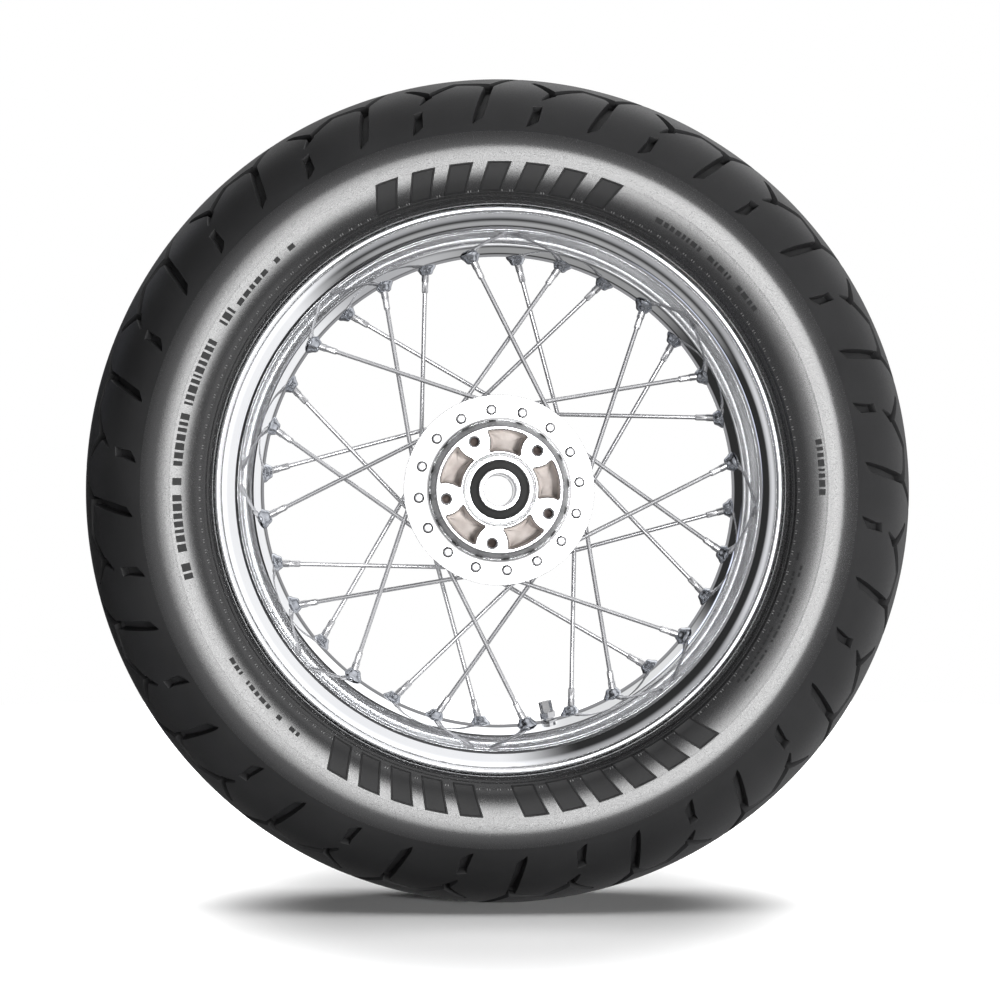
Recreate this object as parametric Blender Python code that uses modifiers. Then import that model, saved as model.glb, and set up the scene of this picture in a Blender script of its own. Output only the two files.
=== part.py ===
"""A laced motorcycle wheel with its tyre, modelled the way the real one goes together.

The wheel is built lying on its side, so that each turned piece is a profile of (radius, height)
round local Z. The empty named axle then stands it up: local +Z, the disc side, becomes world -Y, and
a place at angle a round the wheel is (cos a, sin a) in world X and Z. The origin is the wheel centre.
"""

import math

import bmesh
import bpy
from mathutils import Matrix, Vector

# Tyre, 150/80-16, in metres
TYRE_RADIUS = 0.3230
TYRE_HALF_WIDTH = 0.0755
WIDEST_RADIUS = 0.2620
TREAD_EDGE_RADIUS = 0.2720
TREAD_THICKNESS = 0.0095
SHOULDER_THICKNESS = 0.0055
BELT_THICKNESS = 0.0022
BELT_EDGE = math.radians(30)
CASING_THICKNESS = 0.0035
LEG_RADIUS = 0.2280
LEG_INSIDE = 0.0500
LEG_OUTSIDE = 0.0540
FOOT_INSIDE = 0.0300
FOOT_OUTSIDE = 0.0340
BEAD_CORE_RADIUS = 0.2090
BEAD_CORE_HEIGHT = 0.0385
BEAD_CORE_SIDE = 0.0052

# Rim, 16 x 3.50 drop centre
RIM_SHEET = 0.0022
SEAT_RADIUS = 0.2028
FLANGE_RADIUS = 0.2166
FLANGE_HALF_GAP = 0.04445
LIP_HEIGHT = 0.0570
WELL_RADIUS = 0.1865
WELL_HALF_WIDTH = 0.0130
BAND_RADIUS = 0.1935
BAND_THICKNESS = 0.0010
BAND_HALF_WIDTH = 0.0170

# Inner tube and its valve
TUBE_WALL = 0.0020
TUBE_FLOOR_RADIUS = 0.1965
VALVE_ANGLE = math.radians(282.4)
VALVE_RADIUS = 0.0040
VALVE_TIP_RADIUS = 0.1715
VALVE_BASE_RADIUS = 0.1980
VALVE_HOLE_REACH = 0.0080
VALVE_CORE_RADIUS = 0.0010
VALVE_NUT_RADIUS = 0.0070
VALVE_NUT_HEIGHT = 0.0045
VALVE_CAP_WALL = 0.0009
VALVE_CAP_TOP = 0.0014
VALVE_CAP_LENGTH = 0.0082

# Spokes
SPOKE_COUNT = 32
SPOKE_RADIUS = 0.0018
SPOKE_PITCH = 2 * math.pi / SPOKE_COUNT
FIRST_NIPPLE = math.radians(6.8)
HEAD_RADIUS = 0.0039
HEAD_THICKNESS = 0.0026
ELBOW_RADIUS = 0.0024
NIPPLE_RADIUS = 0.0027
NIPPLE_EXPOSED = 0.0157
NIPPLE_PAST_SHEET = 0.0060

# Hub
FLANGE_DISC_RADIUS = 0.0736
FLANGE_TOP = 0.0380
FLANGE_BOTTOM = 0.0310
HEAD_CIRCLE = 0.0622
BARREL_RADIUS = 0.0400
BOSS_BASE_RADIUS = 0.0545
BOSS_FACE_RADIUS = 0.0490
BOSS_FACE = 0.0660
CAVITY_RADIUS = 0.0330
CAVITY_HALF = 0.0380
SHOULDER_RADIUS = 0.0220
BORE_CHAMFER = 0.0017
BOLT_CIRCLE = 0.0825 / 2
BOLT_COUNT = 5
BOLT_ANGLE = math.radians(45.9)
BOLT_HOLE_RADIUS = 0.0035
BOLT_HOLE_DEPTH = 0.0200
POCKET_INNER = 0.0300
POCKET_OUTER = 0.0460
POCKET_BOSS_RADIUS = 0.0134
POCKET_DEPTH = 0.0140

# Ball bearings, 25 x 52 x 15
BEARING_BORE = 0.0125
BEARING_RADIUS = 0.0260
BEARING_WIDTH = 0.0150
BEARING_FACE = 0.0645
BALL_COUNT = 9
BALL_RADIUS = 0.0039
BALL_CIRCLE = 0.01925
RACE_WALL = 0.0037
RACE_GROOVE_DEPTH = 0.0012
RACE_GROOVE_HALF = 0.0030
CAGE_HALF_WIDTH = 0.0008
CAGE_HALF_HEIGHT = 0.0012
SEAL_THICKNESS = 0.0008
SEAL_INSET = 0.0006

GAP = 0.0003
RUN_OUT = 0.0020
TREAD_STEPS = 64
RING_STEPS = 32
HUB_STEPS = 32
BEARING_STEPS = 20
WELD = 0.00001


def start_scene():
    for old in list(bpy.data.objects):
        bpy.data.objects.remove(old)
    parts = bpy.data.collections.new("laced_wheel")
    cutters = bpy.data.collections.new("cutters")
    bpy.context.scene.collection.children.link(parts)
    bpy.context.scene.collection.children.link(cutters)
    axle = bpy.data.objects.new("axle", None)
    axle.rotation_euler = (math.pi / 2, 0, 0)
    parts.objects.link(axle)
    return parts, cutters, axle


PARTS, CUTTERS, AXLE = start_scene()


def material(name, colour, metallic, roughness):
    made = bpy.data.materials.new(name)
    made.use_nodes = True
    shader = made.node_tree.nodes["Principled BSDF"]
    shader.inputs["Base Color"].default_value = (*colour, 1)
    shader.inputs["Metallic"].default_value = metallic
    shader.inputs["Roughness"].default_value = roughness
    return made


TREAD_RUBBER = material("tread_rubber", (0.018, 0.018, 0.019), 0, 0.55)
SIDE_RUBBER = material("side_rubber", (0.014, 0.014, 0.015), 0, 0.48)
PLY = material("rubbered_ply", (0.05, 0.04, 0.03), 0, 0.80)
TUBE_RUBBER = material("tube_rubber", (0.03, 0.03, 0.03), 0, 0.60)
BAND_RUBBER = material("band_rubber", (0.10, 0.09, 0.08), 0, 0.70)
WIRE = material("bead_wire", (0.45, 0.38, 0.28), 1, 0.40)
CHROME = material("chrome", (0.80, 0.80, 0.81), 1, 0.08)
ZINC = material("bright_zinc", (0.62, 0.63, 0.65), 1, 0.25)
POLISHED = material("polished_aluminium", (0.75, 0.75, 0.76), 1, 0.20)
STEEL = material("bearing_steel", (0.55, 0.55, 0.56), 1, 0.25)
SEAL = material("seal_rubber", (0.01, 0.01, 0.01), 0, 0.50)
BRASS = material("nickelled_brass", (0.70, 0.66, 0.55), 1, 0.30)


def place(name, data, surface=None):
    """A part with a surface, or a cutter without one, hung on the axle."""
    made = bpy.data.objects.new(name, data)
    made.parent = AXLE
    if surface is None:
        made.hide_render = True
        made.display_type = "WIRE"
        CUTTERS.objects.link(made)
    else:
        if not data.materials:
            data.materials.append(surface)
        PARTS.objects.link(made)
    return made


def clockwise(profile):
    """The closed profile in the order that turns its surface outwards under a Screw."""
    after = profile[1:] + profile[:1]
    area = sum(a[0] * b[1] - b[0] * a[1] for a, b in zip(profile, after))
    return profile if area < 0 else profile[::-1]


def screw(made, steps):
    turned = made.modifiers.new("turned", "SCREW")
    turned.axis = "Z"
    turned.angle = 2 * math.pi
    turned.steps = steps
    turned.render_steps = steps
    turned.use_merge_vertices = True
    turned.merge_threshold = WELD
    turned.use_smooth_shade = False


def turned_part(name, profile, steps, surface=None, is_closed=True):
    """A profile of (radius, height) turned round local Z."""
    points = clockwise(profile) if is_closed else profile
    edges = [(i, i + 1) for i in range(len(points) - 1)]
    if is_closed:
        edges.append((len(points) - 1, 0))
    mesh = bpy.data.meshes.new(name)
    mesh.from_pydata([(r, 0, h) for r, h in points], edges, [])
    made = place(name, mesh, surface)
    screw(made, steps)
    return made


def cut(target, cutter, operation="DIFFERENCE"):
    change = target.modifiers.new(cutter.name, "BOOLEAN")
    change.operation = operation
    change.object = cutter
    change.solver = "EXACT"


def mirrored(half):
    """A profile for both sides of the wheel, from its near half."""
    return half + [(r, -h) for r, h in reversed(half)]


def bar_matrix(start, end):
    """Where a Z-aligned bar centred on its origin has to go to run from start to end."""
    turn = (end - start).to_track_quat("Z", "Y").to_matrix().to_4x4()
    return Matrix.Translation((start + end) / 2) @ turn


def add_bar(mesh, start, end, radius, sides):
    bmesh.ops.create_cone(
        mesh,
        cap_ends=True,
        segments=sides,
        radius1=radius,
        radius2=radius,
        depth=(end - start).length,
        matrix=bar_matrix(start, end),
    )


def bars(name, runs, radius, sides):
    """Separate straight bars in one mesh, for drilling many holes at once."""
    work = bmesh.new()
    for start, end in runs:
        add_bar(work, start, end, radius, sides)
    mesh = bpy.data.meshes.new(name)
    work.to_mesh(mesh)
    work.free()
    return place(name, mesh)


def around(radius, angle, height):
    return Vector((radius * math.cos(angle), radius * math.sin(angle), height))


# ---- tyre -------------------------------------------------------------------------------------


def arch(half_width, rise, angles):
    """Points of the ellipse over the widest radius, at these angles from the disc side."""
    return [
        (WIDEST_RADIUS + rise * math.sin(a), half_width * math.cos(a)) for a in angles
    ]


def evenly(start, end, count):
    return [start + (end - start) * i / (count - 1) for i in range(count)]


def tread_edge_angle():
    return math.asin((TREAD_EDGE_RADIUS - WIDEST_RADIUS) / (TYRE_RADIUS - WIDEST_RADIUS))


def add_tread():
    low = tread_edge_angle()
    high = math.pi - low
    outside = arch(TYRE_HALF_WIDTH, TYRE_RADIUS - WIDEST_RADIUS, evenly(low, high, 9))
    inside = arch(
        TYRE_HALF_WIDTH - SHOULDER_THICKNESS,
        TYRE_RADIUS - TREAD_THICKNESS - WIDEST_RADIUS,
        [high, *evenly(math.pi - BELT_EDGE, BELT_EDGE, 5), low],
    )
    return turned_part("tyre_tread", outside + inside, TREAD_STEPS, TREAD_RUBBER)


def add_belt():
    rise = TYRE_RADIUS - TREAD_THICKNESS - GAP - WIDEST_RADIUS
    half_width = TYRE_HALF_WIDTH - SHOULDER_THICKNESS - GAP
    angles = evenly(BELT_EDGE, math.pi - BELT_EDGE, 5)
    outside = arch(half_width, rise, angles)
    inside = arch(half_width - BELT_THICKNESS, rise - BELT_THICKNESS, angles[::-1])
    return turned_part("tyre_belt", outside + inside, RING_STEPS, PLY)


def casing_inside_half_width():
    return TYRE_HALF_WIDTH - SHOULDER_THICKNESS - BELT_THICKNESS - CASING_THICKNESS - 2 * GAP


def casing_inside_rise():
    above = TREAD_THICKNESS + BELT_THICKNESS + CASING_THICKNESS + 2 * GAP
    return TYRE_RADIUS - above - WIDEST_RADIUS


def add_casing():
    """The rubbered ply from bead to bead, in one ring that is open towards the rim."""
    half_width = casing_inside_half_width() + CASING_THICKNESS
    rise = casing_inside_rise() + CASING_THICKNESS
    toe = SEAT_RADIUS + 3 * GAP
    inner_leg = [(LEG_RADIUS, LEG_INSIDE), (toe + 0.006, FOOT_INSIDE + 0.001), (toe, FOOT_INSIDE)]
    outer_leg = [(toe, FOOT_OUTSIDE), (toe + 0.010, FOOT_OUTSIDE + 0.001), (LEG_RADIUS, LEG_OUTSIDE)]
    angles = evenly(0, math.pi, 7)
    over = arch(half_width, rise, angles)
    under = arch(half_width - CASING_THICKNESS, rise - CASING_THICKNESS, angles[::-1])
    across = [(r, -h) for r, h in reversed(outer_leg)]
    back = [(r, -h) for r, h in reversed(inner_leg)]
    profile = outer_leg + over + across + back + under + inner_leg
    return turned_part("tyre_casing", profile, RING_STEPS, PLY)


def add_sidewalls():
    """Each sidewall's rubber runs from the tread's edge to the bead's heel on the rim seat."""
    top = tread_edge_angle()
    edge_rise = TYRE_RADIUS - WIDEST_RADIUS
    outside = [
        (TREAD_EDGE_RADIUS - GAP, TYRE_HALF_WIDTH * math.cos(top)),
        (WIDEST_RADIUS, TYRE_HALF_WIDTH),
        (WIDEST_RADIUS - 0.022, TYRE_HALF_WIDTH - 0.0030),
        (FLANGE_RADIUS + 0.008, 0.0660),
        (FLANGE_RADIUS + 2 * GAP, 0.0580),
        (FLANGE_RADIUS + 2 * GAP, 0.0480),
        (FLANGE_RADIUS - 0.004, FLANGE_HALF_GAP),
        (SEAT_RADIUS + 0.002, FLANGE_HALF_GAP),
        (SEAT_RADIUS + 2 * GAP, 0.0430),
        (SEAT_RADIUS + 2 * GAP, FOOT_OUTSIDE + 0.0004),
    ]
    inside = [
        (SEAT_RADIUS + 0.0105, FOOT_OUTSIDE + 0.0014),
        (LEG_RADIUS, LEG_OUTSIDE + 2 * GAP),
        (WIDEST_RADIUS, TYRE_HALF_WIDTH - SHOULDER_THICKNESS),
        (
            WIDEST_RADIUS + (edge_rise - TREAD_THICKNESS) * math.sin(top) - GAP,
            (TYRE_HALF_WIDTH - SHOULDER_THICKNESS) * math.cos(top),
        ),
    ]
    profile = outside + inside
    turned_part("tyre_sidewall_disc_side", profile, RING_STEPS, SIDE_RUBBER)
    flipped = [(r, -h) for r, h in profile]
    turned_part("tyre_sidewall_drive_side", flipped, RING_STEPS, SIDE_RUBBER)


def add_bead_cores(sidewalls):
    """The hoops of wire lie in a groove of the sidewall's foot, against the casing."""
    for side, name in ((1, "disc_side"), (-1, "drive_side")):
        core_half = BEAD_CORE_SIDE / 2
        room = core_half + GAP
        low = BEAD_CORE_HEIGHT - core_half
        square = [
            (BEAD_CORE_RADIUS - core_half, low),
            (BEAD_CORE_RADIUS - core_half, low + BEAD_CORE_SIDE),
            (BEAD_CORE_RADIUS + core_half, low + BEAD_CORE_SIDE),
            (BEAD_CORE_RADIUS + core_half, low),
        ]
        groove = [
            (BEAD_CORE_RADIUS - room, FOOT_OUTSIDE - 0.001),
            (BEAD_CORE_RADIUS - room, low + BEAD_CORE_SIDE + GAP),
            (BEAD_CORE_RADIUS + room, low + BEAD_CORE_SIDE + GAP),
            (BEAD_CORE_RADIUS + room, FOOT_OUTSIDE - 0.001),
        ]
        core = [(r, side * h) for r, h in square]
        turned_part(f"bead_core_{name}", core, RING_STEPS, WIRE)
        cutter = turned_part(
            f"bead_groove_{name}", [(r, side * h) for r, h in groove], RING_STEPS
        )
        cut(sidewalls[name], cutter)


def add_tyre():
    add_tread()
    add_belt()
    add_casing()
    add_sidewalls()
    names = ("disc_side", "drive_side")
    add_bead_cores({n: bpy.data.objects[f"tyre_sidewall_{n}"] for n in names})


# ---- rim, band, tube and valve ----------------------------------------------------------------


def rim_half_line():
    """The middle of the rim's sheet from the well to the curled lip, on the disc side."""
    half = RIM_SHEET / 2
    return [
        (WELL_RADIUS - half, WELL_HALF_WIDTH + 0.0015),
        (SEAT_RADIUS - half - 0.0012, 0.0305),
        (SEAT_RADIUS - half, FLANGE_HALF_GAP),
        (SEAT_RADIUS - half + 0.0016, FLANGE_HALF_GAP + half + GAP),
        (FLANGE_RADIUS - half - 0.0040, FLANGE_HALF_GAP + half + 2 * GAP),
        (FLANGE_RADIUS - half - 0.0005, 0.0515),
        (FLANGE_RADIUS - half - 0.0040, LIP_HEIGHT - half),
    ]


def add_rim():
    half = rim_half_line()
    line = half[::-1] + [(r, -h) for r, h in half]
    rim = turned_part("rim", line, RING_STEPS, CHROME, is_closed=False)
    sheet = rim.modifiers.new("sheet", "SOLIDIFY")
    sheet.thickness = RIM_SHEET
    sheet.offset = 0
    sheet.use_even_offset = True
    holes = bars("nipple_holes", nipple_runs(), NIPPLE_RADIUS + 2 * GAP, 6)
    cut(rim, holes)
    cut(rim, valve_hole("rim_valve_hole", WELL_RADIUS, VALVE_RADIUS + 2 * GAP))


def valve_hole(name, middle, radius):
    """A cutter along the valve, centred at this distance from the wheel's axle."""
    run = (
        around(middle - VALVE_HOLE_REACH, VALVE_ANGLE, 0),
        around(middle + VALVE_HOLE_REACH, VALVE_ANGLE, 0),
    )
    return bars(name, [run], radius, 8)


def add_rim_band():
    profile = [
        (BAND_RADIUS, BAND_HALF_WIDTH),
        (BAND_RADIUS + BAND_THICKNESS, BAND_HALF_WIDTH),
        (BAND_RADIUS + BAND_THICKNESS, -BAND_HALF_WIDTH),
        (BAND_RADIUS, -BAND_HALF_WIDTH),
    ]
    band = turned_part("rim_band", profile, RING_STEPS, BAND_RUBBER)
    cut(band, valve_hole("band_valve_hole", BAND_RADIUS, VALVE_RADIUS + 2 * GAP))


def add_inner_tube():
    """A closed hollow ring that the valve opens, filling the casing down to the rim band."""
    side = casing_inside_half_width() - 3 * GAP
    rise = casing_inside_rise() - 3 * GAP
    legs = [(LEG_RADIUS, 0.0480), (SEAT_RADIUS + 0.004, 0.0270)]
    floor = [(TUBE_FLOOR_RADIUS, 0.0150)]
    over = arch(side, rise, evenly(0, math.pi, 7))
    near = floor + legs[::-1]
    profile = near + over + [(r, -h) for r, h in reversed(near)]
    tube = turned_part("inner_tube", profile, RING_STEPS, TUBE_RUBBER)
    wall = tube.modifiers.new("wall", "SOLIDIFY")
    wall.thickness = TUBE_WALL
    wall.offset = -1
    wall.use_even_offset = True
    cut(tube, valve_hole("tube_valve_hole", TUBE_FLOOR_RADIUS, VALVE_RADIUS + GAP))


def turned_on_valve(name, profile, steps, surface):
    """A turned piece whose axis is the valve's, with height measured out from the wheel's axle."""
    made = turned_part(name, profile, steps, surface)
    made.rotation_euler = (0, math.pi / 2, VALVE_ANGLE)
    return made


def add_valve():
    """Heights are distances from the wheel's axle: the stem runs from the tube in to its tip."""
    well_inside = WELL_RADIUS - RIM_SHEET
    nut_top = well_inside - 0.0009
    nut_bottom = nut_top - VALVE_NUT_HEIGHT
    cap_tip = VALVE_TIP_RADIUS - VALVE_CAP_TOP
    cap_mouth = cap_tip + VALVE_CAP_LENGTH
    cap_bore = VALVE_RADIUS + GAP
    cap_radius = cap_bore + VALVE_CAP_WALL
    stem = [
        (VALVE_CORE_RADIUS, VALVE_BASE_RADIUS),
        (VALVE_RADIUS, VALVE_BASE_RADIUS),
        (VALVE_RADIUS, VALVE_TIP_RADIUS),
        (VALVE_CORE_RADIUS, VALVE_TIP_RADIUS),
    ]
    nut_bore = VALVE_RADIUS / math.cos(math.pi / 6) + GAP
    nut = [
        (nut_bore, nut_top),
        (VALVE_NUT_RADIUS, nut_top),
        (VALVE_NUT_RADIUS, nut_bottom),
        (nut_bore, nut_bottom),
    ]
    cap = [
        (0.0, cap_tip),
        (cap_radius, cap_tip),
        (cap_radius, cap_mouth),
        (cap_bore, cap_mouth),
        (cap_bore, VALVE_TIP_RADIUS - GAP),
        (0.0, VALVE_TIP_RADIUS - GAP),
    ]
    turned_on_valve("valve_stem", stem, 12, BRASS)
    turned_on_valve("valve_nut", nut, 6, ZINC)
    turned_on_valve("valve_cap", cap, 12, BRASS)


# ---- spokes -----------------------------------------------------------------------------------

# One row of eight spokes each: side of the hub, lean from nipple to head, height where it meets
# the rim, and how far inside the flange its elbow turns, so that crossing spokes pass clear.
ROWS = (
    (1, math.radians(-68.7), 0.0100, 0.0023),
    (-1, math.radians(66.3), 0.0040, 0.0065),
    (1, math.radians(66.3), 0.0040, 0.0065),
    (-1, math.radians(-68.7), 0.0100, 0.0023),
)


def spoke_line(row):
    """The elbow's corner, the point in the rim's sheet and the direction between, for a nipple at angle 0."""
    side, lean, rim_height, depth = row
    corner = around(HEAD_CIRCLE, lean, side * (FLANGE_BOTTOM - depth))
    at_rim = Vector((WELL_RADIUS - RIM_SHEET / 2, 0, side * rim_height))
    return corner, at_rim, (at_rim - corner).normalized()


def elbow_points(corner, inward, along):
    """Where the bend starts, its middle and its end."""
    turn = inward.angle(along)
    reach = ELBOW_RADIUS * math.tan(turn / 2)
    to_centre = (along - inward).normalized()
    centre = corner + to_centre * (ELBOW_RADIUS / math.cos(turn / 2))
    return corner - inward * reach, centre - to_centre * ELBOW_RADIUS, corner + along * reach


def spoke_data(row, name):
    """A curve from the head, through the flange and round the elbow, to the nipple in the rim."""
    side = row[0]
    corner, at_rim, along = spoke_line(row)
    inward = Vector((0, 0, -side))
    under_head = Vector((corner.x, corner.y, side * (FLANGE_TOP + GAP)))
    bend = elbow_points(corner, inward, along)
    nipple_start = at_rim - along * NIPPLE_EXPOSED
    head = HEAD_RADIUS / SPOKE_RADIUS
    nipple = NIPPLE_RADIUS / SPOKE_RADIUS
    stops = [
        (under_head - inward * HEAD_THICKNESS, head * 0.75),
        (under_head, head),
        (under_head + inward * 0.0001, 1),
        (bend[0], 1),
        (bend[1], 1),
        (bend[2], 1),
        (nipple_start, 1),
        (nipple_start + along * 0.0005, nipple),
        (at_rim + along * NIPPLE_PAST_SHEET, nipple),
    ]
    data = bpy.data.curves.new(name, "CURVE")
    data.dimensions = "3D"
    data.bevel_depth = SPOKE_RADIUS
    data.bevel_resolution = 1
    data.use_fill_caps = True
    line = data.splines.new("POLY")
    line.points.add(len(stops) - 1)
    for point, (place_at, factor) in zip(line.points, stops):
        point.co = (*place_at, 1)
        point.radius = factor
    return data


def add_spokes():
    shapes = [spoke_data(row, f"spoke_row_{i + 1}") for i, row in enumerate(ROWS)]
    for i in range(SPOKE_COUNT):
        spoke = place(f"spoke_{i + 1:02d}", shapes[i % len(ROWS)], ZINC)
        spoke.rotation_euler = (0, 0, FIRST_NIPPLE + i * SPOKE_PITCH)


def nipple_runs():
    """Straight runs through the rim's sheet along each nipple."""
    runs = []
    for i in range(SPOKE_COUNT):
        turn = Matrix.Rotation(FIRST_NIPPLE + i * SPOKE_PITCH, 3, "Z")
        _, at_rim, along = spoke_line(ROWS[i % len(ROWS)])
        reach = along * NIPPLE_PAST_SHEET
        runs.append((turn @ (at_rim - reach), turn @ (at_rim + reach)))
    return runs


def shank_runs():
    """Straight runs through the hub's flanges at each spoke's head."""
    runs = []
    for i in range(SPOKE_COUNT):
        side, lean, _, _ = ROWS[i % len(ROWS)]
        angle = FIRST_NIPPLE + i * SPOKE_PITCH + lean
        low = around(HEAD_CIRCLE, angle, side * (FLANGE_BOTTOM - RUN_OUT))
        runs.append((low, around(HEAD_CIRCLE, angle, side * (FLANGE_TOP + RUN_OUT))))
    return runs


# ---- hub and bearings -------------------------------------------------------------------------


def add_hub():
    seat = BEARING_FACE - BEARING_WIDTH - GAP
    bore = BEARING_RADIUS + GAP
    outside = [
        (bore + BORE_CHAMFER, BOSS_FACE),
        (BOSS_FACE_RADIUS, BOSS_FACE),
        (BOSS_BASE_RADIUS, FLANGE_TOP),
        (FLANGE_DISC_RADIUS, FLANGE_TOP),
        (FLANGE_DISC_RADIUS, FLANGE_BOTTOM),
        (BARREL_RADIUS, FLANGE_BOTTOM),
    ]
    inside = [
        (bore, BOSS_FACE - BORE_CHAMFER),
        (bore, seat),
        (SHOULDER_RADIUS, seat),
        (SHOULDER_RADIUS, CAVITY_HALF + 0.004),
        (CAVITY_RADIUS, CAVITY_HALF),
    ]
    profile = mirrored(outside) + [(r, -h) for r, h in inside] + inside[::-1]
    hub = turned_part("hub_shell", profile, HUB_STEPS, POLISHED)
    hole = SPOKE_RADIUS + 2 * GAP
    cut(hub, bars("spoke_holes", shank_runs(), hole, 6))
    cut(hub, bars("bolt_holes", bolt_runs(), BOLT_HOLE_RADIUS, 6))
    cut(hub, pocket_cutters())


def bolt_runs():
    runs = []
    for side in (1, -1):
        for i in range(BOLT_COUNT):
            angle = BOLT_ANGLE + i * 2 * math.pi / BOLT_COUNT
            low = around(BOLT_CIRCLE, angle, side * (BOSS_FACE - BOLT_HOLE_DEPTH))
            runs.append((low, around(BOLT_CIRCLE, angle, side * (BOSS_FACE + RUN_OUT))))
    return runs


def half_angle_clear_of_boss(radius):
    """How far round a pocket reaches at this radius before it meets the wall round a bolt hole."""
    beside = (radius**2 + BOLT_CIRCLE**2 - POCKET_BOSS_RADIUS**2) / (2 * radius * BOLT_CIRCLE)
    return math.pi / BOLT_COUNT - math.acos(beside)


def pocket_outline():
    """The outline of the pocket centred on +X: two arcs round the hub, two round its bolt bosses."""
    flank = [(r, half_angle_clear_of_boss(r)) for r in evenly(POCKET_INNER, POCKET_OUTER, 4)]
    outer = [(POCKET_OUTER, flank[-1][1] * s) for s in (1 / 3, -1 / 3)]
    inner = [(POCKET_INNER, flank[0][1] * s) for s in (-1 / 3, 1 / 3)]
    return flank + outer + [(r, -a) for r, a in reversed(flank)] + inner


def pocket_cutters():
    """All ten pockets in one mesh, each a flat outline pushed out of the boss face."""
    work = bmesh.new()
    outline = pocket_outline()
    for side in (1, -1):
        for i in range(BOLT_COUNT):
            turn = BOLT_ANGLE + (i + 0.5) * 2 * math.pi / BOLT_COUNT
            floor = side * (BOSS_FACE - POCKET_DEPTH)
            ring = [work.verts.new(around(r, a + turn, floor)) for r, a in outline]
            face = work.faces.new(ring)
            pushed = bmesh.ops.extrude_face_region(work, geom=[face])["geom"]
            moved = [v for v in pushed if isinstance(v, bmesh.types.BMVert)]
            up = Vector((0, 0, side * (POCKET_DEPTH + RUN_OUT)))
            bmesh.ops.translate(work, verts=moved, vec=up)
    bmesh.ops.recalc_face_normals(work, faces=work.faces)
    mesh = bpy.data.meshes.new("pockets")
    work.to_mesh(mesh)
    work.free()
    return place("pockets", mesh)


def race(inner, outer, groove_is_outside):
    """A bearing ring's section about height 0, with a groove for the balls."""
    half = BEARING_WIDTH / 2
    wide = RACE_GROOVE_HALF
    if groove_is_outside:
        groove = [(outer, wide), (outer - RACE_GROOVE_DEPTH, 0.0), (outer, -wide)]
        return [(inner, half), (outer, half)] + groove + [(outer, -half), (inner, -half)]
    groove = [(inner, -wide), (inner + RACE_GROOVE_DEPTH, 0.0), (inner, wide)]
    return [(inner, half), (outer, half), (outer, -half), (inner, -half)] + groove


def add_ball_set(name, middle):
    """The balls joined by the cage that carries them round together."""
    ring = [
        (BALL_CIRCLE - CAGE_HALF_WIDTH, middle + CAGE_HALF_HEIGHT),
        (BALL_CIRCLE + CAGE_HALF_WIDTH, middle + CAGE_HALF_HEIGHT),
        (BALL_CIRCLE + CAGE_HALF_WIDTH, middle - CAGE_HALF_HEIGHT),
        (BALL_CIRCLE - CAGE_HALF_WIDTH, middle - CAGE_HALF_HEIGHT),
    ]
    cage = turned_part(name, ring, 2 * BALL_COUNT, STEEL)
    work = bmesh.new()
    for i in range(BALL_COUNT):
        at = Matrix.Translation(around(BALL_CIRCLE, i * 2 * math.pi / BALL_COUNT, middle))
        bmesh.ops.create_uvsphere(
            work, u_segments=6, v_segments=4, radius=BALL_RADIUS, matrix=at
        )
    mesh = bpy.data.meshes.new(f"{name}_balls")
    work.to_mesh(mesh)
    work.free()
    cut(cage, place(f"{name}_balls", mesh), "UNION")


def add_bearing(name, side):
    middle = side * (BEARING_FACE - BEARING_WIDTH / 2)
    outer = race(BEARING_RADIUS - RACE_WALL, BEARING_RADIUS, groove_is_outside=False)
    inner = race(BEARING_BORE, BEARING_BORE + RACE_WALL, groove_is_outside=True)
    for part, section in (("outer_race", outer), ("inner_race", inner)):
        profile = [(r, h + middle) for r, h in section]
        turned_part(f"bearing_{part}_{name}", profile, BEARING_STEPS, STEEL)
    add_ball_set(f"bearing_ball_cage_{name}", middle)
    top = side * (BEARING_FACE - SEAL_INSET)
    bottom = top - side * SEAL_THICKNESS
    seal_in = BEARING_BORE + RACE_WALL + GAP
    seal_out = BEARING_RADIUS - RACE_WALL - GAP
    seal = [(seal_in, top), (seal_out, top), (seal_out, bottom), (seal_in, bottom)]
    turned_part(f"bearing_seal_{name}", seal, BEARING_STEPS, SEAL)


def add_spacer():
    half = BEARING_FACE - BEARING_WIDTH - GAP
    outer = BEARING_BORE + RACE_WALL - GAP
    profile = [(BEARING_BORE, half), (outer, half), (outer, -half), (BEARING_BORE, -half)]
    turned_part("axle_spacer", profile, BEARING_STEPS, STEEL)


def main():
    add_tyre()
    add_rim()
    add_rim_band()
    add_inner_tube()
    add_valve()
    add_spokes()
    add_hub()
    add_bearing("disc_side", 1)
    add_bearing("drive_side", -1)
    add_spacer()


main()
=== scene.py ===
"""The looks of the laced wheel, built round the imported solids.

The wheel turns about world Y and its disc side faces -Y. A place on it is given by its radius, its
angle round the wheel (0 along +X, 90 degrees along +Z) and its height from the middle plane towards
the disc side, all in metres and radians.
"""

import math

import bmesh
import bpy
import numpy as np
from mathutils import Matrix, Vector


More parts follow.
